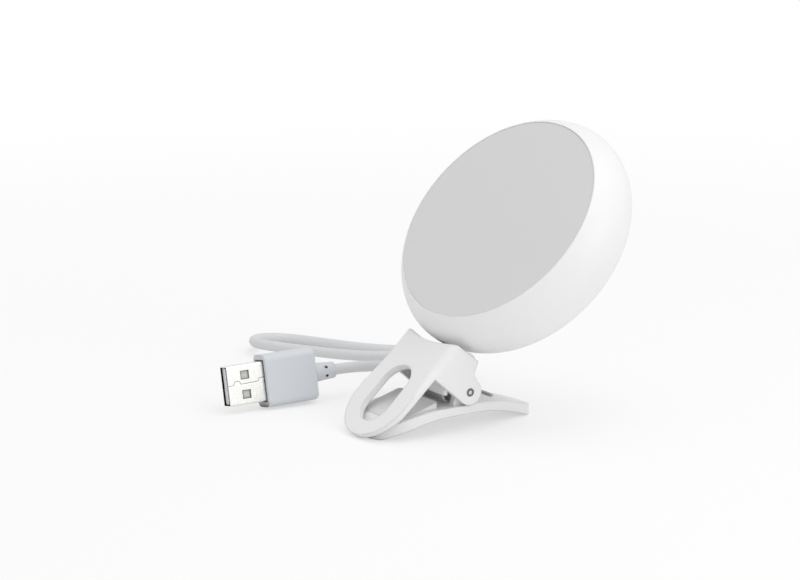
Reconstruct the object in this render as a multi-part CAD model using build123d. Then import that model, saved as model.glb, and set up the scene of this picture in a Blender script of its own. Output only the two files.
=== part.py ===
"""Clip-on selfie light: a round lamp head on a spring clip, with its charging lead.

Millimetres, +Z up. The floor is z = 0 and the clip's plane of symmetry is y = 0.
The clip's jaws point to -X and its handle to +X. Clip parts are drawn about the pivot pin
and moved into place when they are written out.
"""
import math
import os

from build123d import *

os.makedirs("parts", exist_ok=True)

# Where the pivot pin lies
pin_x = -10.97              # from the origin, the middle of the whole object
pin_height = 12.05          # of the pin's axis above the floor

# Clearances shared by mating pieces
running_gap = 0.05          # radial, shaft in a hole
fixed_gap = 0.02            # radial, pieces held together
pad_gap = 0.35              # between the two soft jaw pads when shut

# Clip
clip_half_width = 13.3
jaw_lean = 44.2             # degrees, of the upper jaw's plate above the floor
jaw_offset = 14.28          # of that plate's top face from the pin's axis
plate_at_apex = 2.3         # thickness of the plate at its fold
plate_at_tip = 1.5
loop_centre = -16.8         # along the plate, centre of its rounded end
window_top = -10.9          # along the plate, centres of the window's two ends
window_bottom = -18.75
window_radius = 6.2
ear_thickness = 2.2
boss_radius = 3.85
ear_to_lug = 0.2            # side gap between the upper ears and the lower lugs
lug_thickness = 2.1
lug_radius = 3.3
pin_radius = 1.15
pin_bore_radius = 0.6
pin_bore_depth = 0.3
lower_half_width = 12.4
handle_tip_radius = 5.8
handle_reach = 28.3         # from the pin to the end of the handle
lower_reach = 28.4          # from the pin to the tip of the lower jaw
lower_tip_radius = 12.2
lever_top = ((-29.5, -11.1), (-23, -6.9), (-16.5, -5.0), (-7.5, -4.12), (0, -4.05), (8, -4.5), (17.4, -6.3),
             (29.5, -9.9))  # the lower lever's upper curve in the side view, from the pin
lever_under = ((20, -10.1), (12.8, -8.2), (0, -6.7), (-9.7, -7.05), (-19.4, -9.1))
foot_front, foot_rear = -26.4, 25.4     # where its lower curve meets the floor
pad_thickness = 0.7
lower_pad_half_width = 10.6
lower_pad_top = ((-9.1, -2.1), (-21.5, -6.0), (-27.2, -9.2))
lower_pad_corner = 0.7      # cut off the pad's rear corners, along the clip
shoulder_radius = 2.4       # rounding of the plates' long edges by the ears
shoulder_start, shoulder_full = -13.0, -3.0     # along the plate, where that rounding begins and is full
shoulder_least = 0.3
fold_radius = 3.0
corner_radius = 0.6         # of the ears' rear corners
rib_end = 6.0               # across the clip; the spring's upper leg bears on the rib's other half
rib_thickness = 1.2

# Neck
neck_lean = 49.64           # degrees, of the swivel's axis above the floor
neck_offset = -5.25         # of the swivel's axis from the pin, along the back plate
lamp_turn = 6.37            # degrees the lamp is turned on its swivel
back_face = 8.75            # back plate's outer face at the ears, measured along the swivel's axis
saddle_low = 6.4            # the same at the bottom of its hollow
saddle_room = 2.61          # the hollow's radius over the head's
back_under = 4.35           # its underside
journal_radius = 2.4
stem_radius = 2.3
collar_radius = 4.5
eye_radius = 3.0
eye_half_width = 2.75
tilt_pin_radius = 1.0
lug_side_gap = 0.2

washer_radius = 4.0
washer_thickness = 0.7
axial_gap = 0.05            # along the swivel, between turning faces

# Lamp head, with depths counted back from the front edge of the casing
head_radius = 38.39
head_depth = 25.35
rim_inset = 4.41            # of the casing's front edge from its widest place
widest_at = 8.92
back_flat_radius = 18.5
wall = 2.0
rim_lip = 0.33              # width of the casing's front edge round its opening
diffuser_gap = 0.06
neck_room = 3.2             # from the tray's back to the tilt axis, along the head's depth
head_rise = 9.323           # of the casing's underside, from the pin, along the swivel's axis
pivot_inset = 5.3           # of the tilt axis from the casing's surface
diffuser_front = 0.12       # depth of the diffuser's edge
diffuser_back = 2.1
diffuser_rise = 0.5         # of its middle over its edge
tray_gap = 0.25
tray_wall = 1.2
works_room = 15.55          # from the tray's back to the casing's back
led_board_thickness = 1.2
led_board_inset = 2.65      # of the light board's edge from the opening's
led_rings = ((0.26, 6), (0.565, 12), (0.87, 18))    # share of the light board's radius, count
boss_share = 0.7226         # of that radius, circle of the screw bosses
boss_outer_radius = 2.6
screw_radius = 1.0
battery_height = 28.0       # its width and thickness follow from the bosses and the boards
battery_side_room = 0.45    # between it and the two lower bosses
battery_top_room = 0.3      # between it and the upper boss
battery_room = 1.6          # between it and the tallest chip
battery_pad_thickness = 0.8
board_room = 6.35           # from the control board's front to the casing's back
board_thickness = 1.2
chip_height = 1.8           # of the tallest
button_radius = 5.6
button_proud = 0.5
button_travel = 0.3
socket_size = (6.4, 7.5, 2.5)
socket_inset = 1.27         # of its mouth from the casing's surface
socket_overlap = 1.4        # of the socket over the control board
lead_radius = 0.5
lead_inset = 6.6            # of the light board's leads from its edge

# Charging lead, with its plugs
cable_radius = 1.65
plug_shell = (12.0, 4.5, 12.0)          # what shows of it: length, thickness, width
plug_body = (17.2, 7.6, 15.7)
plug_sleeve_length = 7.0
plug_sleeve_radius = 2.95
plug_front = (-36.9, 44.2, -3.94)       # middle of the body's front face, from the pin
plug_turn = (-2.37, -1.44, -11.0)       # yaw, pitch and roll as it lies
small_plug_body = (13.0, 10.6, 6.8)
small_plug_shell = (6.8, 6.85, 1.8)
small_plug_heading = 57.0               # degrees from +X, seen from above
small_sleeve_length = 6.0
small_sleeve_radius = 2.5

# Spring
wire_radius = 0.45
coil_radius = 1.85          # to the middle of the wire
coil_x = -4.15
coil_z = -1.4
coil_start = 5.1
coil_turns = 9.25
coil_pitch = 1.405
leg_rest = 15.1             # where the lower leg turns across the handle, from the pin
leg_hook_end = -1.9
leg_drop = -5.28            # of its middle where it rests
leg_bend = 6.6


def rad(angle):
    return math.radians(angle)


def side_face(points):
    """A flat face from corners in the side view (x, z)."""
    return make_face(Polyline(*points, close=True))


def slab(face, low, high):
    """The side-view face made solid between y = low and y = high."""
    return extrude(Plane.XZ.offset(-high) * face, amount=high - low)


def cylinder_y(x, z, radius, low, high):
    return slab(Pos(x, z) * Circle(radius), low, high)


def box(x0, x1, y0, y1, z0, z1):
    return Pos((x0 + x1) / 2, (y0 + y1) / 2, (z0 + z1) / 2) * Box(x1 - x0, y1 - y0, z1 - z0)


def rod(radius, z0, z1, x=0.0, y=0.0):
    return Pos(x, y, (z0 + z1) / 2) * Cylinder(radius, z1 - z0)


def turned(points):
    """A solid of revolution about z from a closed outline of (r, z) corners."""
    return revolve(Plane.XZ * make_face(Polyline(*points, close=True)), Axis.Z)


# Directions in the side view
plate_along = (math.cos(rad(jaw_lean)), math.sin(rad(jaw_lean)))      # up the plate, away from its tip
plate_out = (-plate_along[1], plate_along[0])
neck_up = (math.cos(rad(neck_lean)), math.sin(rad(neck_lean)))
neck_back = (neck_up[1], -neck_up[0])


def on_plate(along, out):
    """Side-view point from distances along the plate and out of it."""
    return (along * plate_along[0] + out * plate_out[0], along * plate_along[1] + out * plate_out[1])


def on_neck(back, up):
    return (back * neck_back[0] + up * neck_up[0], back * neck_back[1] + up * neck_up[1])


def meet(out, up):
    """Where the plate's level meets the back plate's level."""
    share = plate_out[0] * neck_up[0] + plate_out[1] * neck_up[1]
    a = (out - share * up) / (1 - share * share)
    b = (up - share * out) / (1 - share * share)
    return (a * plate_out[0] + b * neck_up[0], a * plate_out[1] + b * neck_up[1])


def bezier_radius(depth):
    """Radius of the casing's outside in front of its widest place."""
    t = depth / widest_at
    return head_radius - (1 - t) ** 2 * rim_inset


def casing_radius(depth):
    """The same behind its widest place."""
    share = (depth - widest_at) / (head_depth - widest_at)
    return back_flat_radius + (head_radius - back_flat_radius) * math.sqrt(1 - share ** 2)


# Sizes that follow from the ones above
tray_back = head_depth - works_room
neck_depth = tray_back + neck_room
front_radius = head_radius - rim_inset
opening_radius = front_radius - rim_lip
diffuser_radius = opening_radius - diffuser_gap
tray_radius = opening_radius - tray_gap
led_board_radius = opening_radius - led_board_inset
saddle_radius = head_radius + saddle_room
head_centre = head_rise + casing_radius(neck_depth)
board_front = head_depth - board_room
socket_mouth = casing_radius(board_front - socket_size[2] / 2) - socket_inset

to_clip = Pos(pin_x, 0, pin_height)
neck_frame = Plane(origin=(on_neck(neck_offset, 0)[0], 0, on_neck(neck_offset, 0)[1]),
                   x_dir=(neck_back[0], 0, neck_back[1]), z_dir=(neck_up[0], 0, neck_up[1]))
to_neck = to_clip * neck_frame.location * Rot(0, 0, lamp_turn)
to_head = to_neck * Plane(origin=(-neck_depth, 0, head_centre), x_dir=(0, -1, 0), z_dir=(-1, 0, 0)).location
plate_frame = Plane(origin=(0, 0, 0), x_dir=(plate_along[0], 0, plate_along[1]),
                    z_dir=(plate_out[0], 0, plate_out[1]))

nodes = {}


def keep(name, shape, place=None):
    """Put a finished piece in its place and remember it for writing out."""
    nodes[name] = (place or to_clip) * shape


# Upper lever: window plate, back plate with its hollow, two ears and a stiffening rib
loop_tip = loop_centre - clip_half_width
apex = meet(jaw_offset, back_face)
inner_apex = meet(jaw_offset - plate_at_apex, back_under)
inner_along = inner_apex[0] * plate_along[0] + inner_apex[1] * plate_along[1]
ear_back = -3.7


def plate_under(along):
    """Level of the window plate's underside at a place along it."""
    share = (along - loop_tip) / (inner_along - loop_tip)
    return jaw_offset - plate_at_tip - share * (plate_at_apex - plate_at_tip)


def rounded_at(face, corners, radius):
    """The side-view face with these of its corners rounded."""
    picked = [min(face.vertices(), key=lambda v: math.dist((v.X, v.Y), c)) for c in corners]
    return fillet(picked, radius)


back_corner = on_neck(ear_back, back_face)
upper = slab(rounded_at(side_face([
    on_plate(loop_tip, jaw_offset), apex, back_corner, on_neck(ear_back, back_under),
    inner_apex, on_plate(loop_tip, plate_under(loop_tip))]), [back_corner], corner_radius),
    -clip_half_width, clip_half_width)
tongue = side_face([on_neck(-9, saddle_low + 0.1), on_neck(0.3, saddle_low + 0.1), on_neck(0.3, back_under),
                    on_neck(-9, back_under)])
upper += slab(tongue, -7.8, 7.8)
ear = rounded_at(side_face([
    on_plate(-5.6, jaw_offset - 0.6), on_plate(-5.0, jaw_offset - 2.1), (-7.4, 1.35), (-2.4, -3.0),
    (3.7, 1.0), (1.3, 5.0), back_corner, apex]), [back_corner, (1.3, 5.0)], corner_radius)
ear_inner = clip_half_width - ear_thickness
for low, high in ((-clip_half_width, -ear_inner), (ear_inner, clip_half_width)):
    upper += slab(ear, low, high) + cylinder_y(0, 0, boss_radius, low, high)
rib_x = coil_x - coil_radius - wire_radius - 0.3
upper += slab(side_face([(rib_x - rib_thickness, -0.3), (rib_x, -0.3), (rib_x, 10.6),
                         (rib_x - rib_thickness, 10.6 - rib_thickness)]), -ear_inner - 0.5, rib_end)
loop_outline = Pos(loop_centre, 0) * Circle(clip_half_width) + Pos(loop_centre + 40, 0) * Rectangle(
    80, 2 * clip_half_width)
upper &= extrude(plate_frame.offset(-40) * loop_outline, amount=60)
window = Pos(window_top, 0) * Circle(window_radius) + Pos(window_bottom, 0) * Circle(window_radius)
window += Pos((window_top + window_bottom) / 2, 0) * Rectangle(
    window_top - window_bottom, 2 * window_radius)
upper -= extrude(plate_frame.offset(5) * window, amount=20)


def corner_strip(radius):
    """What a rounding of this radius takes off a corner at (0, 0), as a flat face."""
    out = 0.6
    return make_face([
        Line((-radius, 0), (-radius, out)), Line((-radius, out), (out, out)),
        Line((out, out), (out, -radius)), Line((out, -radius), (0, -radius)),
        ThreePointArc((0, -radius), (-radius * (1 - math.sqrt(0.5)), -radius * (1 - math.sqrt(0.5))),
                      (-radius, 0))])


def corner_at(place, way, side, radius):
    """The strip's face at a side-view point, on one side of the clip, facing along `way` in that view."""
    return Plane(origin=(place[0], side * clip_half_width, place[1]), x_dir=(0, side, 0),
                 z_dir=(side * way[0], 0, side * way[1])) * corner_strip(radius)


# Soft shoulders: they grow along the window plate to the fold, and shrink again along the back plate
fold_half = 90 - (jaw_lean + 90 - neck_lean) / 2
apex_along = apex[0] * plate_along[0] + apex[1] * plate_along[1]
apex_back = apex[0] * neck_back[0] + apex[1] * neck_back[1]
for side in (-1, 1):
    full = corner_at(on_plate(shoulder_full, jaw_offset), plate_along, side, shoulder_radius)
    slight = corner_at(on_plate(shoulder_start, jaw_offset), plate_along, side, shoulder_least)
    upper -= loft([slight, full], ruled=True)
    upper -= extrude(full, amount=side * (apex_along - shoulder_full + 3))
    full = corner_at(on_neck(apex_back - 3, back_face), neck_back, side, shoulder_radius)
    slight = corner_at(on_neck(ear_back + 1, back_face), neck_back, side, shoulder_least)
    upper -= loft([full, slight], ruled=True)
reach = fold_radius / math.tan(rad(fold_half))
t1 = (apex[0] - plate_along[0] * reach, apex[1] - plate_along[1] * reach)
t2 = (apex[0] + neck_back[0] * reach, apex[1] + neck_back[1] * reach)
middle = (t1[0] - plate_out[0] * fold_radius, t1[1] - plate_out[1] * fold_radius)
beyond = (2 * apex[0] - middle[0], 2 * apex[1] - middle[1])
upper -= slab(side_face([t1, beyond, t2]), -20, 20) - cylinder_y(*middle, fold_radius, -20, 20)
saddle_middle = saddle_low + saddle_radius
upper -= neck_frame.location * Pos(0, 0, saddle_middle) * Rot(0, 90, 0) * Cylinder(saddle_radius, 60)
seat = saddle_low - 0.1
upper -= neck_frame.location * rod(journal_radius + running_gap, 0, 12)
upper -= neck_frame.location * rod(collar_radius + 0.3, seat, 12)
upper -= cylinder_y(0, 0, pin_radius + fixed_gap, -20, 20)
keep("upper_lever", upper)

# Soft pad under the window plate's loop
pad_low, pad_high = loop_tip + 0.7, window_bottom
pad = slab(side_face([
    on_plate(pad_low - 2, plate_under(pad_low - 2)), on_plate(pad_high, plate_under(pad_high)),
    on_plate(pad_high, plate_under(pad_high) - pad_thickness),
    on_plate(pad_low - 2, plate_under(pad_low - 2) - pad_thickness)]), -20, 20)
pad &= extrude(plate_frame.offset(5) * (Pos(loop_centre, 0) * Circle(clip_half_width - 0.7)), amount=20)
pad -= extrude(plate_frame.offset(5) * (Pos(window_bottom, 0) * Circle(window_radius + 0.6)), amount=20)
keep("upper_pad", pad)


# Lower lever: one curved plate from the jaw to the handle, with two lugs for the pin
def lever_plan():
    """Outline of the lower lever from above: three circles and their common tangents."""
    x0, r0, x1, r1 = lower_tip_radius - lower_reach, lower_tip_radius, -2.0, lower_half_width
    x2, r2 = handle_reach - handle_tip_radius, handle_tip_radius
    front = math.asin((r0 - r1) / (x1 - x0))
    rear = math.asin((r1 - r2) / (x2 - x1))
    a = (x0 + r0 * math.sin(front), r0 * math.cos(front))
    b = (x1 + r1 * math.sin(front), r1 * math.cos(front))
    c = (x1 + r1 * math.sin(rear), r1 * math.cos(rear))
    d = (x2 + r2 * math.sin(rear), r2 * math.cos(rear))
    middle = (front + rear) / 2
    e = (x1 + r1 * math.sin(middle), r1 * math.cos(middle))

    def low(p):
        return (p[0], -p[1])

    return make_face([
        ThreePointArc(low(a), (x0 - r0, 0), a), Line(a, b), ThreePointArc(b, e, c), Line(c, d),
        ThreePointArc(d, (x2 + r2, 0), low(d)), Line(low(d), low(c)),
        ThreePointArc(low(c), low(e), low(b)), Line(low(b), low(a))])


floor = -pin_height
over = pad_thickness + pad_gap
shut_line = side_face([
    on_plate(loop_tip - 3, plate_under(loop_tip - 3) - over), on_plate(-14, plate_under(-14) - over),
    on_plate(-14, 40), on_plate(loop_tip - 3, 40)])
front_end, rear_end = lever_top[0], lever_top[-1]
lever_side = make_face([
    Spline(*lever_top), Line(rear_end, (rear_end[0], floor)),
    Line((rear_end[0], floor), (foot_rear, floor)),
    Spline((foot_rear, floor), *lever_under, (foot_front, floor)),
    Line((foot_front, floor), (front_end[0], floor)), Line((front_end[0], floor), front_end)])
lower = slab(lever_side, -20, 20) & Pos(0, 0, -20) * extrude(lever_plan(), amount=40)
lower -= slab(shut_line, -20, 20)
lug_outer = ear_inner - ear_to_lug
lug = side_face([(-lug_radius, 0), (-4.6, -4.6), (4.6, -4.8), (lug_radius, 0)])
for low, high in ((-lug_outer, lug_thickness - lug_outer), (lug_outer - lug_thickness, lug_outer)):
    lower += slab(lug, low, high) + cylinder_y(0, 0, lug_radius, low, high)
lower -= cylinder_y(0, 0, pin_radius + running_gap, -20, 20)
keep("lower_lever", lower)

# Soft pad on the lower jaw, as wide as the jaw, with its rear corners cut off
pad_rear, pad_front = lower_pad_top[0][0], lower_pad_top[-1][0]
block = slab(side_face([*lower_pad_top, (pad_front, -12), (pad_rear, -12)]), -20, 20)
half = lower_pad_half_width
pad_plan = make_face(Polyline(
    (pad_front - 5, -half), (pad_rear - lower_pad_corner, -half), (pad_rear, 2 * lower_pad_corner - half),
    (pad_rear, half - 2 * lower_pad_corner), (pad_rear - lower_pad_corner, half), (pad_front - 5, half),
    close=True))
pad_plan &= Pos(lower_tip_radius - lower_reach, 0) * Circle(half) + Pos(
    lower_tip_radius - lower_reach + 15, 0) * Rectangle(30, 2 * half)
block &= Pos(0, 0, -20) * extrude(pad_plan, amount=40)
block -= slab(shut_line, -20, 20)
block -= lower
keep("lower_pad", max(block.solids(), key=lambda s: s.center().Z))

# Pivot pin with its drilled ends
pin_length = 2 * clip_half_width + 0.2
pin = cylinder_y(0, 0, pin_radius, -pin_length / 2, pin_length / 2)
for low, high in ((-pin_length / 2, pin_bore_depth - pin_length / 2),
                  (pin_length / 2 - pin_bore_depth, pin_length / 2)):
    pin -= cylinder_y(0, 0, pin_bore_radius, low, high)
keep("pivot_pin", pin)


# Spring: one wire, straight legs and close turns
def biarc(p0, t0, p1, t1):
    """Two arcs that leave p0 along t0 and reach p1 along t1."""
    p0, t0, p1, t1 = Vector(p0), Vector(t0).normalized(), Vector(p1), Vector(t1).normalized()
    v, t = p1 - p0, t0 + t1
    k = 2 * (1 - t0.dot(t1))
    d = (-v.dot(t) + math.sqrt(v.dot(t) ** 2 + k * v.dot(v))) / k
    middle = (p0 + t0 * d + p1 - t1 * d) / 2
    along = (p1 - t1 * d - p0 - t0 * d).normalized()
    return [TangentArc(p0, middle, tangent=t0), TangentArc(middle, p1, tangent=along)]


def tube(edges, radius, start, along):
    return sweep(Plane(origin=start, z_dir=along) * Circle(radius), path=Wire(edges))


def coil_point(quarter):
    angle = rad(270 - 90 * quarter)
    y = coil_start - coil_pitch * quarter / 4
    slope = coil_pitch / (2 * math.pi)
    return ((coil_x + coil_radius * math.cos(angle), y, coil_z + coil_radius * math.sin(angle)),
            (math.sin(angle) * coil_radius, -slope, -math.cos(angle) * coil_radius))


quarters = round(coil_turns * 4)
stops = [coil_point(k) for k in range(quarters + 1)]
stops[0] = (stops[0][0], (-1, 0, 0))
stops[-1] = (stops[-1][0], (0, 0, 1))
leg_end, leg_corner = (leg_rest, leg_hook_end, leg_drop), (leg_rest, coil_start, leg_drop)
legs = FilletPolyline(leg_end, leg_corner, (leg_bend, coil_start, stops[0][0][2]), stops[0][0],
                      radius=[1.4, 6])
coil_edges = []
for (p0, t0), (p1, t1) in zip(stops[:-1], stops[1:]):
    coil_edges += biarc(p0, t0, p1, t1)
top = stops[-1][0]
upper_leg = Line(top, (top[0], top[1], top[2] + 6.2))
spring_edges = [*legs.edges(), *coil_edges, upper_leg]
leg_way = (Vector(leg_corner) - Vector(leg_end)).normalized()
keep("torsion_spring", tube(spring_edges, wire_radius, leg_end, leg_way))

# Neck: post with its eye, washer and screw
pivot_up = head_centre - casing_radius(neck_depth) + pivot_inset
journal_end = back_under - axial_gap
post = rod(journal_radius, journal_end, seat + 0.5) + rod(collar_radius, seat + axial_gap, seat + 1.0)
post += rod(stem_radius, seat + 0.5, pivot_up - 1)
post += Pos(0, 0, pivot_up) * Rot(90, 0, 0) * Cylinder(eye_radius, 2 * eye_half_width)
post -= Pos(0, 0, pivot_up) * Rot(90, 0, 0) * Cylinder(tilt_pin_radius + running_gap, 20)
screw_top = seat + 2.4
post -= rod(screw_radius + fixed_gap, journal_end - 1, screw_top)
keep("neck_post", post, to_neck)
washer_low = journal_end - washer_thickness
keep("neck_washer", rod(washer_radius, washer_low, journal_end) - rod(screw_radius + 0.1, 0, 10), to_neck)


def pan_screw(length, radius, head, head_height, slot=0.5):
    """Screw standing on z = 0, its head below and its shank up."""
    body = rod(radius, -0.01, length) + rod(head, -head_height, 0)
    cross = Box(1.5 * head, slot, head_height) + Box(slot, 1.5 * head, head_height)
    return body - Pos(0, 0, -head_height) * cross


keep("neck_screw", Pos(0, 0, washer_low) * pan_screw(screw_top - washer_low - 0.1, screw_radius, 1.9, 1.2),
     to_neck)

# Lamp casing: one shell, open in front
tilt_y = pivot_up - head_centre


def shell_face(inset):
    """Half section of the head's outside, or of its cavity at the wall's inset."""
    widest, back = head_radius - inset, head_depth - inset
    if inset:
        nose = Polyline((0, 1), (opening_radius, 1), (opening_radius, -2.6), (widest, -widest_at))
    else:
        nose = Bezier((front_radius, 0), (head_radius, -widest_at / 2), (head_radius, -widest_at))
    dome = EllipticalCenterArc((back_flat_radius, -widest_at), widest - back_flat_radius, back - widest_at,
                               start_angle=270, arc_size=90)
    start = nose @ 0
    edges = [nose, dome, Line((back_flat_radius, -back), (0, -back))]
    if inset:
        edges.append(Line((0, -back), (0, 1)))
    else:
        edges += [Line((0, -back), (0, 0)), Line((0, 0), start)]
    return make_face(edges)


outside = revolve(Plane.XZ * shell_face(0), Axis.Z)
casing = outside - revolve(Plane.XZ * shell_face(wall), Axis.Z)
lug_in, lug_out = eye_half_width + lug_side_gap, eye_half_width + lug_side_gap + 2.6
boss_circle = boss_share * led_board_radius
boss_places = [(boss_circle * math.cos(rad(a)), boss_circle * math.sin(rad(a))) for a in (80, 200, 340)]
inner_back = head_depth - wall
board_back = board_front + board_thickness
board_screws_at = [(-16.0, -5.2), (10.5, 4.8)]
fittings = []
for side in (-1, 1):
    fittings.append(box(min(side * lug_in, side * lug_out), max(side * lug_in, side * lug_out),
                        -40, tilt_y, -neck_depth - 2.6, -neck_depth + 2.6))
    fittings.append(Pos(side * (lug_in + lug_out) / 2, tilt_y, -neck_depth) * Rot(0, 90, 0)
                    * Cylinder(2.6, lug_out - lug_in))
fittings += [rod(boss_outer_radius, -inner_back - 1, -tray_back, x, y) for x, y in boss_places]
fittings += [rod(2.1, -inner_back - 1, -board_back, x, y) for x, y in board_screws_at]
for piece in fittings:
    casing += piece & outside
casing -= Pos(0, tilt_y, -neck_depth) * Rot(0, 90, 0) * Cylinder(
    tilt_pin_radius + fixed_gap, 2 * lug_out - 1)
slot_half = eye_half_width + 0.12
casing -= box(-slot_half, slot_half, tilt_y - 20, tilt_y, -neck_depth - 4.6, -neck_depth + 4.6)
for x, y in boss_places:
    casing -= rod(screw_radius + fixed_gap, -tray_back - 6.5, -tray_back + 1, x, y)
for x, y in board_screws_at:
    casing -= rod(0.8 + fixed_gap, -board_back - 2.6, -board_back + 1, x, y)
casing -= rod(button_radius + running_gap, -head_depth - 1, -inner_back + 1)
socket_len, socket_wide, socket_high = socket_size
socket_floor = board_front - socket_high
casing -= box(-socket_mouth - 11, -socket_mouth + socket_len - 1, -socket_wide / 2 - 0.2,
              socket_wide / 2 + 0.2, -board_front - 0.2, -socket_floor + 0.2)
keep("casing", casing, to_head)

# Diffuser, slightly domed, and the tray with its light board
dome_radius = (diffuser_radius ** 2 + diffuser_rise ** 2) / (2 * diffuser_rise)
diffuser = rod(diffuser_radius, -diffuser_back, -diffuser_front + diffuser_rise)
diffuser &= Pos(0, 0, diffuser_rise - diffuser_front - dome_radius) * Sphere(dome_radius)
keep("diffuser", diffuser, to_head)

tray_floor = tray_back - tray_wall
tray = turned([(0, -tray_back), (led_board_radius + 0.8, -tray_back), (tray_radius, -diffuser_back),
               (tray_radius - tray_wall, -diffuser_back), (led_board_radius + 0.3, -tray_floor),
               (0, -tray_floor)])
lead_y = -2.9
lead_hole = (led_board_radius - lead_inset, lead_y)
for x, y in boss_places:
    tray -= rod(screw_radius + 0.1, -12, 0, x, y)
tray -= rod(1.8, -12, 0, *lead_hole)
keep("reflector_tray", tray, to_head)

led_board_front = tray_floor - led_board_thickness
led_board = rod(led_board_radius, -tray_floor, -led_board_front)
for x, y in boss_places:
    led_board -= rod(screw_radius + 0.1, -12, 0, x, y)
keep("led_board", led_board, to_head)
leds = []
for share, count in led_rings:
    for k in range(count):
        angle = 360 * (k + 0.5) / count
        leds.append(Rot(0, 0, angle) * Pos(share * led_board_radius, 0, -led_board_front + 0.4)
                    * Box(3.5, 2.8, 0.8))
keep("leds", Compound(children=leds), to_head)
turn_up = Rot(180, 0, 0)
keep("tray_screws", Compound(children=[
    Pos(x, y, -led_board_front) * turn_up
    * pan_screw(tray_back - led_board_front + 6, screw_radius, 1.9, 1.2)
    for x, y in boss_places]), to_head)

# Battery on its pad, behind the tray
cell_x = 2 * (boss_places[2][0] - boss_outer_radius - battery_side_room)
cell_y = battery_height
battery_lift = boss_places[0][1] - boss_outer_radius - battery_top_room - cell_y / 2
cell_front = tray_back + battery_pad_thickness
cell_z = board_front - chip_height - battery_room - cell_front
cell_low = battery_lift - cell_y / 2
cell = Pos(0, battery_lift, -cell_front - cell_z / 2) * Box(cell_x, cell_y, cell_z)
keep("battery", fillet(cell.edges().filter_by(Axis.Y), 1.2), to_head)
keep("battery_pad", Pos(0, battery_lift, -tray_back - battery_pad_thickness / 2)
     * Box(cell_x - 10, cell_y - 8, battery_pad_thickness), to_head)

# Control board with its socket, switch and chips
board_edge = socket_mouth - socket_len + socket_overlap
board = box(-board_edge, -17, -4.4, 4.4, -board_back, -board_front)
board += box(-18, 14, -7.8, 7.8, -board_back, -board_front)
for x, y in board_screws_at:
    board -= rod(0.9, -board_back - 1, -board_front + 1, x, y)
keep("control_board", board, to_head)
chips = [Pos(-8, 3.2, -board_front + 0.6) * Box(5, 4.4, 1.2),
         Pos(0.5, -3.4, -board_front + 0.5) * Box(3, 3, 1),
         Pos(6, 2.4, -board_front + chip_height / 2) * Box(4, 4, chip_height),
         Pos(-18, 3.6, -board_front + 0.4) * Box(3.2, 1.6, 0.8)]
chips += [Pos(x, -5.8, -board_front + 0.3) * Box(1.0, 1.6, 0.6) for x in (-11, -8.6, 3.8, 6.2)]
keep("board_chips", Compound(children=chips), to_head)
socket = box(-socket_mouth, -socket_mouth + socket_len, -socket_wide / 2, socket_wide / 2,
             -board_front, -socket_floor)
socket -= box(-socket_mouth - 1, -socket_mouth + socket_len - 0.4, -socket_wide / 2 + 0.25,
              socket_wide / 2 - 0.25, -board_front + 0.3, -socket_floor - 0.25)
socket += box(-socket_mouth + 0.8, -socket_mouth + socket_len - 0.3, -1.9, 1.9,
              -socket_floor - 1.15, -socket_floor - 0.6)
keep("usb_socket", socket, to_head)
switch_reach = head_depth - wall - 0.1 - 1.0 - button_travel - 0.05
tact = box(-3, 3, -3, 3, -board_back - 1.2, -board_back) + rod(1.6, -switch_reach, -board_back - 1.0)
keep("tact_switch", tact, to_head)
keep("board_screws", Compound(children=[
    Pos(x, y, -board_front) * turn_up * pan_screw(board_thickness + 2.4, 0.8, 1.5, 1.0, 0.4)
    for x, y in board_screws_at]), to_head)

# Power button in the middle of the back
cap = rod(button_radius, -head_depth - button_proud, -inner_back)
cap = fillet(cap.edges().group_by(Axis.Z)[0], 0.4)
cap += rod(button_radius + 1.0, -inner_back + 0.1, -inner_back + 1.1)
cap += rod(button_radius, -inner_back, -inner_back + 0.5)
cap -= Pos(0, 0, -head_depth - button_proud - 11.6) * Sphere(12)
keep("power_button", cap, to_head)


# Leads: battery to board, light board to board
def lead_pair(points, spread, bend):
    wires = []
    for k in (-0.5, 0.5):
        way = [(x + k * spread[0], y + k * spread[1], z) for x, y, z in points]
        start = (Vector(way[1]) - Vector(way[0])).normalized()
        wires.append(tube(FilletPolyline(*way, radius=bend).edges(), lead_radius, way[0], start))
    return Compound(children=wires)


cell_middle = cell_front + cell_z / 2
lead_down = -board_front + 1.7
keep("battery_leads", lead_pair([
    (-6, cell_low, -cell_middle), (-6, cell_low - 2.6, -cell_middle), (-6, cell_low - 2.6, lead_down),
    (-6, -6.6, lead_down - 0.1), (-6, -6.6, -board_front)], (1.8, 0), 0.75), to_head)
keep("led_leads", lead_pair([(*lead_hole, -tray_floor), (*lead_hole, lead_down), (12.2, lead_y, lead_down),
                             (12.2, lead_y, -board_front)], (0, 1.6), 0.8), to_head)

# Tilt pin through the neck's eye
keep("tilt_pin", Pos(0, tilt_y, -neck_depth) * Rot(0, 90, 0) * Cylinder(tilt_pin_radius, 2 * lug_out - 1.1),
     to_head)

# Charging lead: the large plug
yaw, pitch, roll = plug_turn
to_plug = to_clip * Pos(*plug_front) * Rot(0, 0, yaw) * Rot(0, pitch, 0) * Rot(roll, 0, 0)
shell_len, shell_thick, shell_wide = plug_shell
body_len, body_thick, body_wide = plug_body
shell_wall = 0.3
shell_root = 3.0            # of the shell inside the body


def centred(x0, x1, thick, wide):
    return box(x0, x1, -thick / 2, thick / 2, -wide / 2, wide / 2)


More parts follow.
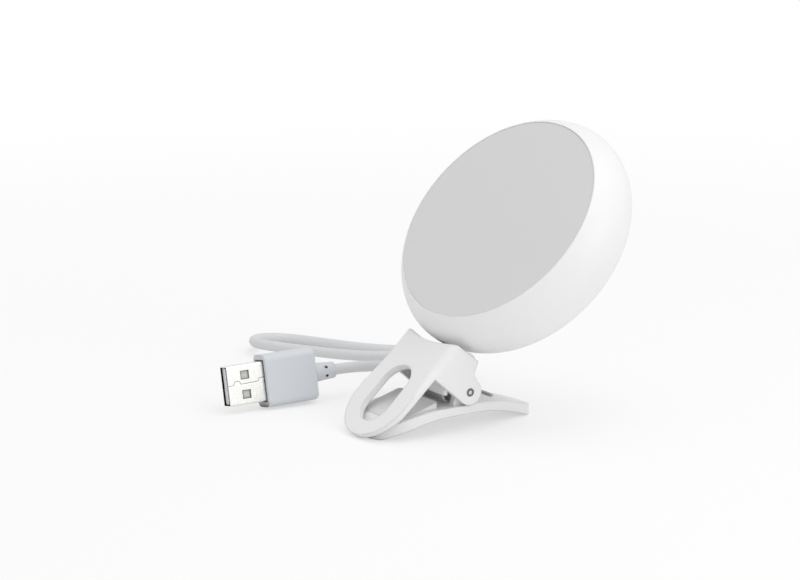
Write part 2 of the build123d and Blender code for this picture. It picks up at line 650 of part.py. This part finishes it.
shell = centred(-shell_len, shell_root, shell_thick, shell_wide)
shell = fillet(shell.edges().filter_by(Axis.X), 0.6)
shell -= fillet(centred(-shell_len - 1, shell_root + 1, shell_thick - 2 * shell_wall,
                        shell_wide - 2 * shell_wall).edges().filter_by(Axis.X), 0.3)
for z in (-2.9, 2.9):
    shell -= Pos(-6.3, 0, z) * Box(2.4, 10, 2.2)
shell -= box(-shell_len - 1, shell_root + 1, -shell_thick / 2 - 1, -shell_thick / 2 + 0.15, -0.08, 0.08)
keep("usb_a_shell", shell, to_plug)
tongue_thick, tongue_top = 1.9, shell_thick / 2 - shell_wall - fixed_gap
tongue_block = box(-shell_len + 0.6, shell_root, tongue_top - tongue_thick, tongue_top,
                   -shell_wide / 2 + shell_wall + 0.3, shell_wide / 2 - shell_wall - 0.3)
keep("usb_a_tongue", tongue_block, to_plug)
strip_face = tongue_top - tongue_thick
keep("usb_a_contacts", Compound(children=[
    box(-shell_len + 1.2, -1.5, strip_face - 0.15, strip_face, z - 0.55, z + 0.55)
    for z in (-3.5, -1.1, 1.1, 3.5)]), to_plug)
grip = centred(0, body_len, body_thick, body_wide)
grip = fillet(grip.edges().filter_by(Axis.X), 2.0)
grip = fillet(grip.faces().sort_by(Axis.X)[-1].edges(), 1.2)
grip -= centred(-1, shell_root, shell_thick + 2 * fixed_gap, shell_wide + 2 * fixed_gap)
keep("usb_a_housing", grip, to_plug)


def sleeve(length, radius, slot_turn):
    """Ribbed relief sleeve along x with two pairs of small slots."""
    body = Rot(0, 90, 0) * Pos(0, 0, length / 2) * Cone(radius, radius - 0.5, length)
    for z in (-radius / 2, radius / 2):
        for side in (-1, 1):
            body -= Rot(slot_turn, 0, 0) * Pos(length * 0.5, side * (radius - 0.35), z) * Box(1.1, 1.0, 0.9)
    return body


keep("usb_a_relief", Pos(body_len, 0, 0) * sleeve(plug_sleeve_length, plug_sleeve_radius, 0), to_plug)

# Small plug, lying flat behind the clip
small_len, small_wide, small_thick = small_plug_body
tip_len, tip_wide, tip_thick = small_plug_shell

# The cable's route, from the large plug's sleeve to the small plug's
lead_start = to_plug * Pos(body_len + plug_sleeve_length, 0, 0)
start_at = lead_start.position - to_clip.position
start_way = (to_plug * Pos(1, 0, 0)).position - to_plug.position
small_way = Vector(math.cos(rad(small_plug_heading)), math.sin(rad(small_plug_heading)), 0)
rest_z = floor + cable_radius + 0.02
plug_z = floor + small_thick / 2 + 0.02
route = [
    start_at, start_at + start_way * 9, (10, 38.6, -4.3), (24, 34.5, -5.2), (37, 40.5, -6.2),
    (38.5, 53, -7.0), (28, 61.5, -7.5), (17, 65, -7.6), (8.2, 73.6, -7.5), (1.6, 84.4, -7.5),
    (-8.24, 99.42, -7.7), (-5.87, 108.97, -8.5), (2.64, 113.9, -9.4), (12.1, 111.2, rest_z),
    (18.6, 99.1, rest_z), (23.6, 90.0, rest_z), (29.8, 81.9, rest_z), (37.6, 76.2, rest_z),
    (47.0, 72.4, rest_z), (57.0, 71.6, -9.6), (66.0, 74.6, plug_z)]
route = [Vector(p) for p in route]
route.append(route[-1] + small_way * 8.0)
bends = []
for a, b, c in zip(route[:-2], route[1:-1], route[2:]):
    turn = (b - a).get_angle(c - b)
    bends.append(0.45 * min((b - a).length, (c - b).length) / math.tan(rad(turn) / 2))
lead = FilletPolyline(*route, radius=bends)
cable = tube(lead.edges(), cable_radius, start_at, start_way)
keep("cord", cable)
print("cable bends", [round(r, 1) for r in bends])
print("cable length", round(lead.length, 1), "volume over section by length",
      round(cable.volume / (math.pi * cable_radius ** 2 * lead.length), 4))

to_small = to_clip * Pos(*route[-1]) * Rot(0, 0, small_plug_heading)
keep("micro_relief", sleeve(small_sleeve_length, small_sleeve_radius, 90).mirror(Plane.YZ).moved(
    Pos(small_sleeve_length, 0, 0)), to_small)
x0, x1 = small_sleeve_length, small_sleeve_length + small_len
small = box(x0, x1, -small_wide / 2, small_wide / 2, -small_thick / 2, small_thick / 2)
small = fillet(small.edges().filter_by(Axis.X), 1.6)
small = fillet(small.faces().sort_by(Axis.X)[0].edges(), 1.0)
small -= box(x1 - 2.5, x1 + 1, -tip_wide / 2 - fixed_gap, tip_wide / 2 + fixed_gap,
             -tip_thick / 2 - fixed_gap, tip_thick / 2 + fixed_gap)
keep("micro_housing", small, to_small)
tip = box(x1 - 2.5, x1 + tip_len, -tip_wide / 2, tip_wide / 2, -tip_thick / 2, tip_thick / 2)
tip = chamfer(tip.edges().filter_by(Axis.X).group_by(Axis.Z)[0], 0.6)
tip -= box(x1 + 0.5, x1 + tip_len + 1, -tip_wide / 2 + 0.85, tip_wide / 2 - 0.85, -tip_thick / 2 + 0.25,
           tip_thick / 2 - 0.25)
keep("micro_shell", tip, to_small)
keep("micro_tongue", box(x1 + 0.5, x1 + tip_len - 0.5, -1.9, 1.9, tip_thick / 2 - 0.85,
                         tip_thick / 2 - 0.27), to_small)

# Spring: least gap between one turn and the next, on points
samples = []
for edge_no, e in enumerate(spring_edges):
    count = max(2, round(e.length / 0.4))
    samples += [e @ (k / count) for k in range(count)]
least = min((p - q).length for i, p in enumerate(samples) for q in samples[i + 14:])
print("spring turns", coil_turns, "least gap to itself", round(least - 2 * wire_radius, 3))

for name, shape in nodes.items():
    export_step(shape, f"parts/{name}.step")
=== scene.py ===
import bpy
import math
from mathutils import Euler, Matrix, Vector


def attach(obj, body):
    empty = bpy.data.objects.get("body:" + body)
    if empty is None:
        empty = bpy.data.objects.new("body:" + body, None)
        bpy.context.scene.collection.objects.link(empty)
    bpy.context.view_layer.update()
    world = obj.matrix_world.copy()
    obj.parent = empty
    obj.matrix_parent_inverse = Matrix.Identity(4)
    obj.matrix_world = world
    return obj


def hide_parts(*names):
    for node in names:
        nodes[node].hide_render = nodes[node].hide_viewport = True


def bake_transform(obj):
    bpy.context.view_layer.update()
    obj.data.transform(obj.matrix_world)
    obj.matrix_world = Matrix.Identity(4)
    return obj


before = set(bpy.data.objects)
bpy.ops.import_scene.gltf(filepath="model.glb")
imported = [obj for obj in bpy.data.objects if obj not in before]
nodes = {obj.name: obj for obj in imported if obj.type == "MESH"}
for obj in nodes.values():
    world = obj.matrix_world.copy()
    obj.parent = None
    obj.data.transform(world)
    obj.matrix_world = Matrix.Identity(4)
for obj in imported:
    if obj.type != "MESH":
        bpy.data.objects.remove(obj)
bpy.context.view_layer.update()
scene = bpy.context.scene
mm = 0.001
pin = Vector((-10.97, 0, 12.05)) * mm  # the clip's pivot, from which the route and the plug are counted


def fromPin(place):
    return Vector(place) * mm + pin


def degrees(values):
    return [math.radians(v) for v in values]


def pick(piece):
    bpy.ops.object.select_all(action="DESELECT")
    piece.select_set(True)
    bpy.context.view_layer.objects.active = piece


# Camera: a long lens from the left, slightly above
cameraSettings = {"place": (-0.48324, -0.73501, 0.23034), "turn": 31.85, "dip": 12.3, "lens": 138.5,
                  "sensor": 36, "near": 0.05, "far": 20}


def makeCamera(c):
    data = bpy.data.cameras.new("camera")
    data.lens = c["lens"]
    data.sensor_width = c["sensor"]
    data.clip_start, data.clip_end = c["near"], c["far"]
    camera = bpy.data.objects.new("camera", data)
    scene.collection.objects.link(camera)
    camera.location = c["place"]
    camera.rotation_euler = degrees((90 - c["dip"], 0, -c["turn"]))
    scene.camera = camera


makeCamera(cameraSettings)
scene.view_settings.view_transform = "Standard"
print("camera placed")

# Charging cable: one smooth line through the route's points, in mm from the pivot
cableSettings = {
    "diameter": 3.3, "smoothness": 12, "sides": 8,
    "route": [
        (-12.73, 43.2, -3.33), (-3.74, 42.83, -3.11), (10, 38.6, -4.3), (24, 34.5, -5.2), (37, 40.5, -6.2),
        (38.5, 53, -7.0), (28, 61.5, -7.5), (17, 65, -7.6), (8.2, 73.6, -7.5), (1.6, 84.4, -7.5),
        (-6.3, 99.42, -7.7), (-4.2, 108.97, -8.5), (3.4, 113.9, -9.4), (12.3, 111.2, -10.38),
        (18.6, 99.1, -10.38), (23.6, 90.0, -10.38), (29.8, 81.9, -10.38), (37.6, 76.2, -10.38),
        (47.0, 72.4, -10.38), (57.0, 71.6, -9.6), (66.0, 74.6, -8.63), (70.36, 81.31, -8.63)],
}


def makeCable(c):
    curve = bpy.data.curves.new("charging_cable", "CURVE")
    curve.dimensions = "3D"
    line = curve.splines.new("NURBS")
    line.points.add(len(c["route"]) - 1)
    for point, place in zip(line.points, c["route"]):
        point.co = (*fromPin(place), 1)
        point.radius = c["diameter"] / 2 * mm  # the bevel's depth is 1, so that the curve's box is right
    line.order_u = 3
    line.use_endpoint_u = True
    line.resolution_u = c["smoothness"]
    curve.bevel_depth = 1
    curve.bevel_resolution = c["sides"]
    curve.use_fill_caps = True
    cable = bpy.data.objects.new("charging_cable", curve)
    scene.collection.objects.link(cable)
    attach(cable, "lower")
    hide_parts("cord")
    return cable


cable = makeCable(cableSettings)
print("cable laid")

# Tones of the finishes, as they look under plain light; the pin's tone is painted shade of the gap round it
tones = {
    "clipWhite": (0.82, 0.82, 0.82), "headWhite": (0.84, 0.84, 0.84), "opal": (0.66, 0.66, 0.66),
    "padWhite": (0.72, 0.72, 0.73), "cable": (0.67, 0.68, 0.69), "plug": (0.62, 0.642, 0.672),
    "spring": (0.5, 0.5, 0.51), "steel": (0.55, 0.55, 0.56), "nickel": (0.93, 0.93, 0.90),
    "gold": (0.85, 0.62, 0.25), "insulator": (0.75, 0.76, 0.78), "board": (0.03, 0.2, 0.07),
    "chip": (0.02, 0.02, 0.02), "phosphor": (0.85, 0.7, 0.2), "tray": (0.88, 0.88, 0.87),
    "foil": (0.62, 0.63, 0.65), "foam": (0.08, 0.08, 0.09), "button": (0.6, 0.6, 0.62),
    "lead": (0.45, 0.03, 0.02), "pinSteelGapShade": (0.13, 0.13, 0.14), "seam": (0.12, 0.12, 0.12),
    "backing": (0.6, 0.6, 0.58),
}
# Moulded surface: broad shifts of tone, and a fine grain that varies the gloss and the height
surfaceSettings = {"broadScale": 45, "broadDetail": 3, "grainScale": 900.0, "grainDetail": 4,
                   "glossSpread": 0.06, "grainDepth": 0.0002}


def mathNode(n, link, kind, *values):
    node = n.new("ShaderNodeMath")
    node.operation = kind
    for socket, value in zip(node.inputs, values):
        if isinstance(value, (int, float)):
            socket.default_value = value
        else:
            link(value, socket)
    return node.outputs[0]


def surfaceGroup(c):
    g = bpy.data.node_groups.new("mouldedSurface", "ShaderNodeTree")
    face = g.interface
    face.new_socket("Colour", in_out="INPUT", socket_type="NodeSocketColor")
    for name, value in (("Shift", 0.03), ("Grain", c["grainScale"]), ("Roughness", 0.4),
                        ("Spread", c["glossSpread"])):
        face.new_socket(name, in_out="INPUT", socket_type="NodeSocketFloat").default_value = value
    face.new_socket("Colour", in_out="OUTPUT", socket_type="NodeSocketColor")
    face.new_socket("Roughness", in_out="OUTPUT", socket_type="NodeSocketFloat")
    face.new_socket("Height", in_out="OUTPUT", socket_type="NodeSocketFloat")
    n, link = g.nodes, g.links.new
    inside, out = n.new("NodeGroupInput"), n.new("NodeGroupOutput")
    where = n.new("ShaderNodeTexCoord")
    broad, fine = n.new("ShaderNodeTexNoise"), n.new("ShaderNodeTexNoise")
    broad.inputs["Scale"].default_value = c["broadScale"]
    broad.inputs["Detail"].default_value = c["broadDetail"]
    fine.inputs["Detail"].default_value = c["grainDetail"]
    link(where.outputs["Object"], broad.inputs["Vector"])
    link(where.outputs["Object"], fine.inputs["Vector"])
    link(inside.outputs["Grain"], fine.inputs["Scale"])
    shade = n.new("ShaderNodeMapRange")
    link(broad.outputs["Fac"], shade.inputs["Value"])
    link(mathNode(n, link, "SUBTRACT", 1.0, inside.outputs["Shift"]), shade.inputs["To Min"])
    shade.inputs["To Max"].default_value = 1.0
    tint = n.new("ShaderNodeVectorMath")
    tint.operation = "SCALE"
    link(inside.outputs["Colour"], tint.inputs[0])
    link(shade.outputs[0], tint.inputs["Scale"])
    link(tint.outputs[0], out.inputs["Colour"])
    half = mathNode(n, link, "SUBTRACT", fine.outputs["Fac"], 0.5)
    link(mathNode(n, link, "MULTIPLY_ADD", half, inside.outputs["Spread"], inside.outputs["Roughness"]),
         out.inputs["Roughness"])
    link(fine.outputs["Fac"], out.inputs["Height"])
    return g


surface = surfaceGroup(surfaceSettings)


def finish(name, tone, roughness, metal=0.0, bump=0.06, shift=0.03, specular=0.5):
    m = bpy.data.materials.new(name)
    m.use_nodes = True
    n, link = m.node_tree.nodes, m.node_tree.links.new
    shader = n["Principled BSDF"]
    g = n.new("ShaderNodeGroup")
    g.node_tree = surface
    g.inputs["Colour"].default_value = (*tones[tone], 1)
    g.inputs["Shift"].default_value = shift
    g.inputs["Roughness"].default_value = roughness
    link(g.outputs["Colour"], shader.inputs["Base Color"])
    link(g.outputs["Roughness"], shader.inputs["Roughness"])
    shader.inputs["Metallic"].default_value = metal
    shader.inputs["Specular IOR Level"].default_value = specular
    b = n.new("ShaderNodeBump")
    b.inputs["Strength"].default_value = bump
    b.inputs["Distance"].default_value = surfaceSettings["grainDepth"]
    link(g.outputs["Height"], b.inputs["Height"])
    link(b.outputs["Normal"], shader.inputs["Normal"])
    return m


finishes = {
    "clip": finish("satin_clip_plastic", "clipWhite", 0.42),
    "head": finish("smooth_casing_plastic", "headWhite", 0.38),
    "opal": finish("opal_diffuser", "opal", 0.75, bump=0.02, shift=0.015, specular=0.2),
    "pad": finish("soft_pad_rubber", "padWhite", 0.7, bump=0.12),
    "cable": finish("cable_jacket", "cable", 0.5),
    "plug": finish("plug_moulding", "plug", 0.42),
    "spring": finish("drawn_spring_wire", "spring", 0.42, metal=0.6),
    "steel": finish("plated_steel", "steel", 0.3, metal=1.0),
    "pin": finish("pin_steel_gap_shade", "pinSteelGapShade", 0.4, metal=0.5),
    "nickel": finish("nickel_shell", "nickel", 0.28, metal=1.0),
    "gold": finish("gold_contacts", "gold", 0.25, metal=1.0),
    "insulator": finish("plug_insulator", "insulator", 0.45),
    "board": finish("circuit_board", "board", 0.4),
    "chip": finish("black_package", "chip", 0.5),
    "phosphor": finish("led_phosphor", "phosphor", 0.5),
    "tray": finish("tray_plastic", "tray", 0.35),
    "foil": finish("cell_foil", "foil", 0.35, metal=0.8),
    "foam": finish("foam_tape", "foam", 0.9),
    "button": finish("button_plastic", "button", 0.45),
    "lead": finish("lead_insulation", "lead", 0.45),
    "seam": finish("seam_shadow", "seam", 0.6),
    "backing": finish("backing_plastic", "backing", 0.6),
}

# Marks that follow the plug and the pin, in mm: painted shade inside the plug's mouth, painted shadow round its
# two holes, the joint between shell and moulding, painted shade low on the moulding's front, painted shade in
# the dents in its sleeve, and the pin painted dark as the shade of the gap round it, with a light disc in its
# dimple
plugPlace = {"place": (-36.9, 44.2, -3.94), "turn": (-11.0, -1.44, -2.37)}
pinPlace = {"place": (0, 0, 0), "turn": (0, 0, 0)}
plugMarks = {
    "insideThick": 1.99, "insideWide": 5.74, "mouth": (0.02, 0.02, 0.02), "mouthRoughness": 0.7,
    "holeAt": -6.3, "holeSide": 2.9, "holeLong": 1.42, "holeWide": 1.32, "hole": (0.22, 0.22, 0.21),
    "holeRoughness": 0.6,
    "frontDepth": 0.06, "jointThick": 2.75, "jointWide": 6.4, "joint": (0.05, 0.05, 0.055),
    "cornerFrom": -6.2, "cornerTo": -7.4, "corner": (0.2, 0.2, 0.21),
    "dentAt": 21.0, "dentSide": 1.3, "dentSize": 0.42, "paintedDentShade": (0.03, 0.03, 0.035),
}
pinMarks = {"radius": 0.6, "dimple": (0.75, 0.75, 0.75), "dimpleRoughness": 0.6}
edgeRounds = {"clip": 0.7, "head": 0.4, "plug": 0.4}  # mm, how far the light runs round an edge
edgeSamples = 6


def maths(m, kind, *values):
    return mathNode(m.node_tree.nodes, m.node_tree.links.new, kind, *values)


def within(m, value, limit):
    return maths(m, "LESS_THAN", maths(m, "ABSOLUTE", value), limit * mm)


def reach(m, a, b):
    return maths(m, "SQRT", maths(m, "ADD", maths(m, "MULTIPLY", a, a), maths(m, "MULTIPLY", b, b)))


def ownPlace(m, c):
    n, link = m.node_tree.nodes, m.node_tree.links.new
    where, local = n.new("ShaderNodeTexCoord"), n.new("ShaderNodeMapping")
    parts = n.new("ShaderNodeSeparateXYZ")
    local.vector_type = "TEXTURE"
    local.inputs["Location"].default_value = fromPin(c["place"])
    local.inputs["Rotation"].default_value = degrees(c["turn"])
    link(where.outputs["Object"], local.inputs["Vector"])
    link(local.outputs[0], parts.inputs[0])
    return parts.outputs


def paintWhere(m, mask, tone, roughness=None):
    n, link = m.node_tree.nodes, m.node_tree.links.new
    shader = n["Principled BSDF"]
    before = shader.inputs["Base Color"].links[0].from_socket
    mix = n.new("ShaderNodeMix")
    mix.data_type = "RGBA"
    link(mask, mix.inputs[0])
    link(before, mix.inputs[6])
    mix.inputs[7].default_value = (*tone, 1)
    link(mix.outputs[2], shader.inputs["Base Color"])
    if roughness is not None:
        gloss = shader.inputs["Roughness"].links[0].from_socket
        link(maths(m, "MAXIMUM", maths(m, "MULTIPLY", mask, roughness), gloss), shader.inputs["Roughness"])


def markShell(m, c):
    x, y, z = ownPlace(m, plugPlace)
    # painted shade: the shell's inside, shadowed within the mouth, is painted near black
    inside = maths(m, "MULTIPLY", within(m, y, c["insideThick"]), within(m, z, c["insideWide"]))
    paintWhere(m, inside, c["mouth"], c["mouthRoughness"])
    # painted shadow: a dark patch round each of the shell's two holes
    along = maths(m, "SUBTRACT", x, c["holeAt"] * mm)
    across = maths(m, "SUBTRACT", maths(m, "ABSOLUTE", z), c["holeSide"] * mm)
    holeShadowMask = maths(m, "MULTIPLY", within(m, along, c["holeLong"]), within(m, across, c["holeWide"]))
    paintWhere(m, holeShadowMask, c["hole"], c["holeRoughness"])


def markMoulding(m, c):
    x, y, z = ownPlace(m, plugPlace)
    front = within(m, x, c["frontDepth"])
    # painted shade: the moulding's front face grows darker towards its bottom
    low = maths(m, "DIVIDE", maths(m, "SUBTRACT", z, c["cornerFrom"] * mm),
                (c["cornerTo"] - c["cornerFrom"]) * mm)
    low = maths(m, "MAXIMUM", maths(m, "MINIMUM", low, 1.0), 0.0)
    paintWhere(m, maths(m, "MULTIPLY", front, low), c["corner"])
    joint = maths(m, "MULTIPLY", within(m, y, c["jointThick"]), within(m, z, c["jointWide"]))
    paintWhere(m, maths(m, "MULTIPLY", front, joint), c["joint"])
    # painted shade: near-black spots in the two shallow dents of the sleeve
    along = maths(m, "SUBTRACT", x, c["dentAt"] * mm)
    across = maths(m, "SUBTRACT", maths(m, "ABSOLUTE", z), c["dentSide"] * mm)
    paintWhere(m, maths(m, "LESS_THAN", reach(m, along, across), c["dentSize"] * mm), c["paintedDentShade"])


def markPin(m, c):
    x, y, z = ownPlace(m, pinPlace)
    # painted shade: the pin is dark as the gap round it is, and only the disc in its end keeps a light tone
    dimple = maths(m, "LESS_THAN", reach(m, x, z), c["radius"] * mm)
    paintWhere(m, dimple, c["dimple"], c["dimpleRoughness"])


def softEdges(m, radius):
    n, link = m.node_tree.nodes, m.node_tree.links.new
    bump = next(x for x in n if x.type == "BUMP")
    edge = n.new("ShaderNodeBevel")
    edge.samples = edgeSamples
    edge.inputs["Radius"].default_value = radius * mm
    link(edge.outputs[0], bump.inputs["Normal"])


markShell(finishes["nickel"], plugMarks)
markMoulding(finishes["plug"], plugMarks)
markPin(finishes["pin"], pinMarks)
for kind, radius in edgeRounds.items():
    softEdges(finishes[kind], radius)

wearing = {
    "clip": ["lower_lever", "upper_lever", "neck_post"],
    "head": ["casing"],
    "opal": ["diffuser"],
    "pad": ["upper_pad", "lower_pad"],
    "plug": ["usb_a_housing", "usb_a_relief", "micro_housing", "micro_relief"],
    "spring": ["torsion_spring"],
    "pin": ["pivot_pin"],
    "steel": ["neck_washer", "neck_screw", "tray_screws", "board_screws", "tilt_pin"],
    "nickel": ["usb_a_shell", "micro_shell", "usb_socket"],
    "gold": ["usb_a_contacts"],
    "insulator": ["usb_a_tongue", "micro_tongue"],
    "board": ["led_board", "control_board"],
    "chip": ["board_chips", "tact_switch"],
    "phosphor": ["leds"],
    "tray": ["reflector_tray"],
    "foil": ["battery"],
    "foam": ["battery_pad"],
    "button": ["power_button"],
    "lead": ["battery_leads", "led_leads"],
}
for kind, names in wearing.items():
    for name in names:
        mesh = nodes[name].data
        mesh.materials.clear()
        mesh.materials.append(finishes[kind])
cable.data.materials.append(finishes["cable"])
print("finishes given")

# Soft linings: the plain solids, rounded as moulded rubber and cut foam are
softPieces = {
    "upper_pad": {"name": "upper_jaw_lining", "body": "upper", "finish": "pad", "slot": "soft_white",
                  "voxel": 0.16, "rounds": 5},
    "lower_pad": {"name": "lower_jaw_lining", "body": "lower", "finish": "pad", "slot": "soft_white",
                  "voxel": 0.2, "rounds": 5},
    "battery_pad": {"name": "battery_foam", "body": "lamp", "finish": "foam", "slot": "foam_grey",
                    "voxel": 0.2, "rounds": 4},
}
# Diffuser: the plain solid with an even shade across its middle
domeSettings = {"name": "diffuser_dome", "body": "lamp", "finish": "opal", "slot": "opal", "angle": 25}
# Spring: the plain solid, copied and shaded smooth where it stands; its long leg lies on the lower lever and
# its short leg on the upper one, and the two places of its twist are in mm from the pivot
springSettings = {"name": "clip_spring", "body": None, "finish": "spring", "slot": "dark_steel", "angle": 40,
                  "twistStart": (-1.85, 5.1, -1.4), "twistEnd": (-6.88, -6.88, -1.4)}
mergeWithin = 0.000001  # metres


def mergedCopy(node, c):
    piece = bpy.data.objects.new(c["name"], nodes[node].data.copy())
    scene.collection.objects.link(piece)
    pick(piece)
    bpy.ops.object.mode_set(mode="EDIT")
    bpy.ops.mesh.select_all(action="SELECT")
    bpy.ops.mesh.remove_doubles(threshold=mergeWithin)
    bpy.ops.object.mode_set(mode="OBJECT")
    piece.data.materials.clear()
    piece.data.materials.append(finishes[c["finish"]])
    if c["body"]:
        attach(piece, c["body"])
    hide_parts(node)
    return piece


def makeLining(node, c):
    piece = mergedCopy(node, c)
    even = piece.modifiers.new("even", "REMESH")
    even.mode = "VOXEL"
    even.voxel_size = c["voxel"] * mm
    soft = piece.modifiers.new("soft", "SMOOTH")
    soft.factor = 0.5
    soft.iterations = c["rounds"]
    pick(piece)
    for modifier in list(piece.modifiers):
        bpy.ops.object.modifier_apply(modifier=modifier.name)
    bpy.ops.object.shade_smooth()


def shadedCopy(node, c):
    piece = mergedCopy(node, c)
    if piece.data.has_custom_normals:
        bpy.ops.mesh.customdata_custom_splitnormals_clear()
    bpy.ops.object.shade_smooth_by_angle(angle=math.radians(c["angle"]))
    return piece


def makeSpring(c):
    piece = shadedCopy("torsion_spring", c)
    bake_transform(piece)


for node, c in softPieces.items():
    makeLining(node, c)
shadedCopy("diffuser", domeSettings)
makeSpring(springSettings)
print("linings, dome and spring made")

# Seam of the plug's shell with its locking tab, and the plate behind its two holes, in the plug's own mm
seamSettings = {"thick": 0.09, "level": -2.25, "sides": 2,
                "line": [(-12.0, 0.1), (-10.3, 0.15), (-9.9, 1.2), (-8.3, 1.2), (-7.8, 0.25), (-2.1, 0.4),
                         (-1.8, 1.3), (-0.1, 1.4)]}
plateSettings = {"low": (-9.4, -1.85, -5.3), "high": (-0.4, -1.35, 5.3), "edge": 0.12, "angle": 35}


def plugMatrix():
    turn = Euler(degrees(plugPlace["turn"])).to_matrix().to_4x4()
    return Matrix.Translation(fromPin(plugPlace["place"])) @ turn


def makeSeam(c):
    curve = bpy.data.curves.new("shell_seam", "CURVE")
    curve.dimensions = "3D"
    line = curve.splines.new("POLY")
    line.points.add(len(c["line"]) - 1)
    for point, (x, z) in zip(line.points, c["line"]):
        point.co = (x * mm, c["level"] * mm, z * mm, 1)
    curve.bevel_depth = c["thick"] * mm
    curve.bevel_resolution = c["sides"]
    piece = bpy.data.objects.new("shell_seam", curve)
    scene.collection.objects.link(piece)
    pick(piece)
    bpy.ops.object.convert(target="MESH")
    piece = bpy.context.object
    piece.data.transform(plugMatrix())
    piece.data.materials.append(finishes["seam"])
    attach(piece, "lower")
    return piece


def makePlate(c):
    low, high = Vector(c["low"]) * mm, Vector(c["high"]) * mm
    bpy.ops.object.select_all(action="DESELECT")
    bpy.ops.mesh.primitive_cube_add(size=1, location=(low + high) / 2, scale=high - low)
    piece = bpy.context.object
    piece.name = "shell_backing"
    bpy.ops.object.transform_apply(location=True, rotation=True, scale=True)
    bpy.ops.object.mode_set(mode="EDIT")
    bpy.ops.mesh.select_all(action="SELECT")
    bpy.ops.mesh.bevel(offset=c["edge"] * mm, segments=2)
    bpy.ops.object.mode_set(mode="OBJECT")
    piece.data.transform(plugMatrix())
    bpy.ops.object.shade_smooth_by_angle(angle=math.radians(c["angle"]))
    piece.data.materials.append(finishes["backing"])
    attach(piece, "lower")
    return piece


seam, plate = makeSeam(seamSettings), makePlate(plateSettings)
print("plug detailed")

# Floor and world: the floor turns pure white to the camera away from the light, and keeps its shadow near it
studioSettings = {"floorSize": 6, "floorLevel": -0.00005, "floorWhite": 0.88, "floorRoughness": 0.9,
                  "floorSpecular": 0.2, "nearGlow": 0.55, "glowFrom": 0.14, "glowTo": 0.6, "ambient": 0.8}


def makeFloor(c):
    bpy.ops.object.select_all(action="DESELECT")
    bpy.ops.mesh.primitive_plane_add(size=c["floorSize"], location=(0, 0, c["floorLevel"]))
    floor = bpy.context.object
    floor.name = "floor"
    m = bpy.data.materials.new("white_floor")
    m.use_nodes = True
    n, link = m.node_tree.nodes, m.node_tree.links.new
    shader = n["Principled BSDF"]
    shader.inputs["Base Color"].default_value = (c["floorWhite"],) * 3 + (1,)
    shader.inputs["Roughness"].default_value = c["floorRoughness"]
    shader.inputs["Specular IOR Level"].default_value = c["floorSpecular"]
    where, far = n.new("ShaderNodeTexCoord"), n.new("ShaderNodeVectorMath")
    far.operation = "LENGTH"
    link(where.outputs["Object"], far.inputs[0])
    ramp = n.new("ShaderNodeMapRange")
    ramp.interpolation_type = "SMOOTHSTEP"
    link(far.outputs["Value"], ramp.inputs["Value"])
    ramp.inputs["From Min"].default_value = c["glowFrom"]
    ramp.inputs["From Max"].default_value = c["glowTo"]
    ramp.inputs["To Min"].default_value = c["nearGlow"]
    ramp.inputs["To Max"].default_value = 1.0
    path, glow, mix = n.new("ShaderNodeLightPath"), n.new("ShaderNodeEmission"), n.new("ShaderNodeMixShader")
    glow.inputs["Strength"].default_value = 1.0
    link(mathNode(n, link, "MULTIPLY", path.outputs["Is Camera Ray"], ramp.outputs[0]), mix.inputs[0])
    link(shader.outputs[0], mix.inputs[1])
    link(glow.outputs[0], mix.inputs[2])
    link(mix.outputs[0], n["Material Output"].inputs["Surface"])
    floor.data.materials.append(m)


def makeWorld(c):
    world = bpy.data.worlds.new("studio")
    scene.world = world
    world.use_nodes = True
    n, link = world.node_tree.nodes, world.node_tree.links.new
    n["Background"].inputs["Color"].default_value = (1, 1, 1, 1)
    n["Background"].inputs["Strength"].default_value = c["ambient"]
    path, white, mix = n.new("ShaderNodeLightPath"), n.new("ShaderNodeBackground"), n.new("ShaderNodeMixShader")
    white.inputs["Strength"].default_value = 1.0
    seen = path.outputs["Is Camera Ray"]
    for other in ("Is Glossy Ray", "Is Transmission Ray"):
        seen = mathNode(n, link, "MAXIMUM", seen, path.outputs[other])
    link(seen, mix.inputs[0])
    link(n["Background"].outputs[0], mix.inputs[1])
    link(white.outputs[0], mix.inputs[2])
    link(mix.outputs[0], n["World Output"].inputs["Surface"])


# Lamps: two soft discs, one overhead and one in front
lamps = {
    "top": {"place": (0.15, -0.2, 0.9), "aim": (0.0, 0.0, 0.03), "size": 1.0, "power": 2.6},
    "front": {"place": (0.25, -0.95, 0.5), "aim": (0.0, 0.0, 0.03), "size": 0.7, "power": 1.6},
}


def makeLamp(name, c):
    data = bpy.data.lights.new(name, "AREA")
    data.shape = "DISK"
    data.size = c["size"]
    data.energy = c["power"]
    lamp = bpy.data.objects.new(name, data)
    scene.collection.objects.link(lamp)
    lamp.location = c["place"]
    lamp.rotation_euler = (Vector(c["aim"]) - Vector(c["place"])).to_track_quat("-Z", "Y").to_euler()


makeFloor(studioSettings)
makeWorld(studioSettings)
for name, c in lamps.items():
    makeLamp(name, c)
print("studio lit")

bpy.context.view_layer.update()  # so that the new pieces' boxes are up to date
